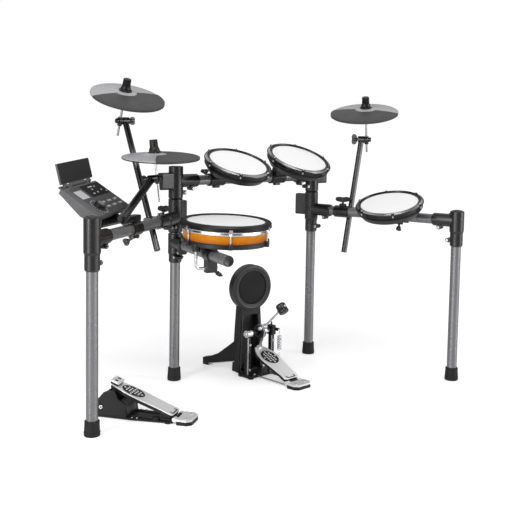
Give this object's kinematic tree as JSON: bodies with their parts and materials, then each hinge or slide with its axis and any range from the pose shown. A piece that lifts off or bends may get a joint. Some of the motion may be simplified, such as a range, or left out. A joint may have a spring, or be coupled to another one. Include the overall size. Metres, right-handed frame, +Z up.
{
  "type": "electronic drum kit",
  "caption": "Electronic drum kit on a folding tube rack: mesh tom and snare pads, rubber cymbal pads on booms, kick tower with beater pedal, hi-hat pedal and sound module.",
  "frame": {"origin": "on the floor under the middle of the kit, the bottom centre of its box", "axes": "+X along the rear bar to the right as the drummer faces it, +Y away from the drummer, +Z up"},
  "size_m": [1.3898, 0.795, 1.0444],
  "materials": {
    "rack_tube": "metallic dark grey",
    "fitting_black": "satin black",
    "rubber_black": "matt black",
    "boom_black": "gloss black",
    "chrome": "polished",
    "hoop_gunmetal": "black chrome",
    "mesh_white": "woven mesh",
    "housing_black": "textured black",
    "shell_amber": "clear amber lacquer",
    "cymbal_grey": "light grey",
    "cymbal_rubber": "dark grey rubber",
    "pedal_silver": "satin silver",
    "pedal_black": "black",
    "module_grey": "dark grey",
    "key_grey": "grey"
  },
  "bodies": {
    "rack": {"rear_posts": "rack_tube", "rear_feet": "rubber_black", "rear_bar": "rack_tube", "rear_bar_fittings": "fitting_black", "kick_tower": "housing_black", "kick_pad_shell": "housing_black", "kick_pad": "rubber_black", "kick_pedal_frame": "pedal_black", "pedal_heel_plates": "pedal_silver", "kick_pedal_spring": "chrome", "hihat_pedal_base": "pedal_black", "hihat_pedal_housing": "housing_black"},
    "left_wing": {"left_bar_and_leg": "rack_tube", "left_bar_fittings": "fitting_black", "left_foot": "rubber_black"},
    "right_wing": {"right_bar_and_leg": "rack_tube", "right_bar_fittings": "fitting_black", "right_foot": "rubber_black"},
    "snare_support": {"snare_arm_fitting": "fitting_black", "snare_arm": "rack_tube", "snare_clamp": "fitting_black", "snare_l_rod": "chrome"},
    "snare": {"snare_base": "housing_black", "snare_shell": "shell_amber", "snare_collar_and_rods": "chrome", "snare_hoop": "rubber_black", "snare_head": "mesh_white"},
    "left_tom": {"left_tom_housing": "housing_black", "left_tom_hoop": "hoop_gunmetal", "left_tom_head": "mesh_white"},
    "middle_tom": {"middle_tom_housing": "housing_black", "middle_tom_hoop": "hoop_gunmetal", "middle_tom_head": "mesh_white"},
    "right_tom": {"right_tom_housing": "housing_black", "right_tom_hoop": "hoop_gunmetal", "right_tom_head": "mesh_white"},
    "crash_arm": {"crash_boom": "boom_black"},
    "crash_tilter": {"crash_rod": "chrome", "crash_nut": "rubber_black"},
    "crash_cymbal": {"crash_plate": "cymbal_grey", "crash_pad": "cymbal_rubber"},
    "ride_arm": {"ride_boom": "boom_black"},
    "ride_tilter": {"ride_rod": "chrome", "ride_nut": "rubber_black"},
    "ride_cymbal": {"ride_plate": "cymbal_grey", "ride_pad": "cymbal_rubber"},
    "hihat_arm": {"hihat_boom": "boom_black"},
    "hihat_tilter": {"hihat_rod": "chrome", "hihat_nut": "rubber_black"},
    "hihat_cymbal": {"hihat_plate": "cymbal_grey", "hihat_pad": "cymbal_rubber"},
    "module": {"module_bracket": "fitting_black", "module_case": "module_grey"},
    "module_stand": {"media_stand": "module_grey"},
    "module_dial": {"module_knob": "rubber_black"},
    "module_keys": {"module_keypad": "key_grey"},
    "kick_board": {"kick_footboard": "pedal_silver"},
    "beater_arm": {"beater_axle": "chrome", "beater": "rubber_black"},
    "hihat_board": {"hihat_footboard": "pedal_silver"}
  },
  "joints": [
    {"name": "left_wing_swivel", "type": "hinge", "parent": "rack", "child": "left_wing", "pos_m": [-0.16969, 0.18799, 0.568], "axis": [0, 0, 1], "range_deg": [-15, 15]},
    {"name": "right_wing_swivel", "type": "hinge", "parent": "rack", "child": "right_wing", "pos_m": [0.45331, 0.18799, 0.568], "axis": [0, 0, 1], "range_deg": [-15, 15]},
    {"name": "snare_arm_swivel", "type": "hinge", "parent": "rack", "child": "snare_support", "pos_m": [-0.16969, 0.18799, 0.484], "axis": [0, 0, 1], "range_deg": [-12, 12]},
    {"name": "snare_swivel", "type": "hinge", "parent": "snare_support", "child": "snare", "pos_m": [-0.27701, -0.09658, 0.5], "axis": [0, 0, 1], "range_deg": [-20, 20]},
    {"name": "left_tom_tilt", "type": "hinge", "parent": "rack", "child": "left_tom", "pos_m": [-0.00269, 0.18799, 0.696], "axis": [1, 0, 0], "range_deg": [-12, 15]},
    {"name": "middle_tom_tilt", "type": "hinge", "parent": "rack", "child": "middle_tom", "pos_m": [0.27531, 0.18799, 0.696], "axis": [1, 0, 0], "range_deg": [-12, 15]},
    {"name": "right_tom_tilt", "type": "hinge", "parent": "right_wing", "child": "right_tom", "pos_m": [0.57012, -0.1673, 0.568], "axis": [0.3123, -0.95, 0], "range_deg": [-12, 15]},
    {"name": "crash_arm_swing", "type": "hinge", "parent": "left_wing", "child": "crash_arm", "pos_m": [-0.27077, 0.12058, 0.568], "axis": [-0.832, -0.5548, 0], "range_deg": [-8, 8]},
    {"name": "crash_tilt", "type": "hinge", "parent": "crash_arm", "child": "crash_tilter", "pos_m": [-0.30469, 0.33399, 0.898], "axis": [-1, 0, 0], "range_deg": [-20, 20]},
    {"name": "crash_rock", "type": "hinge", "parent": "crash_tilter", "child": "crash_cymbal", "pos_m": [-0.30807, 0.29332, 0.99907], "axis": [1, 0, 0], "range_deg": [-4, 4], "stiffness_Nm_per_rad": 6},
    {"name": "ride_arm_swing", "type": "hinge", "parent": "right_wing", "child": "ride_arm", "pos_m": [0.50016, 0.04549, 0.568], "axis": [0.3123, -0.95, 0], "range_deg": [-8, 8]},
    {"name": "ride_tilt", "type": "hinge", "parent": "ride_arm", "child": "ride_tilter", "pos_m": [0.61431, 0.05999, 0.839], "axis": [0.5822, -0.8131, 0], "range_deg": [-20, 20]},
    {"name": "ride_rock", "type": "hinge", "parent": "ride_tilter", "child": "ride_cymbal", "pos_m": [0.58542, 0.03928, 0.9578], "axis": [0.4983, -0.867, 0], "range_deg": [-4, 4], "stiffness_Nm_per_rad": 6},
    {"name": "hihat_arm_swing", "type": "hinge", "parent": "left_wing", "child": "hihat_arm", "pos_m": [-0.42843, 0.01543, 0.568], "axis": [-0.832, -0.5548, 0], "range_deg": [-8, 8]},
    {"name": "hihat_tilt", "type": "hinge", "parent": "hihat_arm", "child": "hihat_tilter", "pos_m": [-0.30669, 0.08699, 0.715], "axis": [0.5507, -0.8257, 0.1221], "range_deg": [-12, 12]},
    {"name": "hihat_rock", "type": "hinge", "parent": "hihat_tilter", "child": "hihat_cymbal", "pos_m": [-0.31229, 0.09541, 0.79738], "axis": [0.5822, 0.8131, 0], "range_deg": [-4, 4], "stiffness_Nm_per_rad": 6},
    {"name": "module_tilt", "type": "hinge", "parent": "left_wing", "child": "module", "pos_m": [-0.45339, -0.00121, 0.568], "axis": [-0.832, -0.5548, 0], "range_deg": [-6, 3]},
    {"name": "media_stand_hinge", "type": "hinge", "parent": "module", "child": "module_stand", "pos_m": [-0.59664, 0.07819, 0.71019], "axis": [0.7912, 0.6099, 0.0456], "range_deg": [-10, 40]},
    {"name": "volume_knob", "type": "hinge", "parent": "module", "child": "module_dial", "pos_m": [-0.57832, -0.02609, 0.64664], "axis": [0.2989, -0.4506, 0.8412], "continuous": true},
    {"name": "keypad_press", "type": "slide", "parent": "module", "child": "module_keys", "axis": [0.2989, -0.4506, 0.8412], "range_m": [-0.0012, 0], "stiffness_N_per_m": 900},
    {"name": "kick_pedal_press", "type": "hinge", "parent": "rack", "child": "kick_board", "pos_m": [0.12787, -0.10409, 0.014], "axis": [0.9945, 0.1045, 0], "range_deg": [-14, 0], "stiffness_Nm_per_rad": 6, "springref_deg": 6.88},
    {"name": "beater_swing", "type": "hinge", "parent": "rack", "child": "beater_arm", "pos_m": [0.11031, 0.06299, 0.158], "axis": [0.9945, 0.1045, 0], "range_deg": [-57, 0], "deforming": ["kick_pedal_spring"]},
    {"name": "hihat_pedal_press", "type": "hinge", "parent": "rack", "child": "hihat_board", "pos_m": [-0.39105, -0.17727, 0.014], "axis": [0.8059, 0.592, 0], "range_deg": [-8, 0], "stiffness_Nm_per_rad": 10, "springref_deg": 11.46}
  ],
  "couplings": [
    {"joint": "beater_swing", "follows": "kick_pedal_press", "ratio": 4.0714}
  ]
}
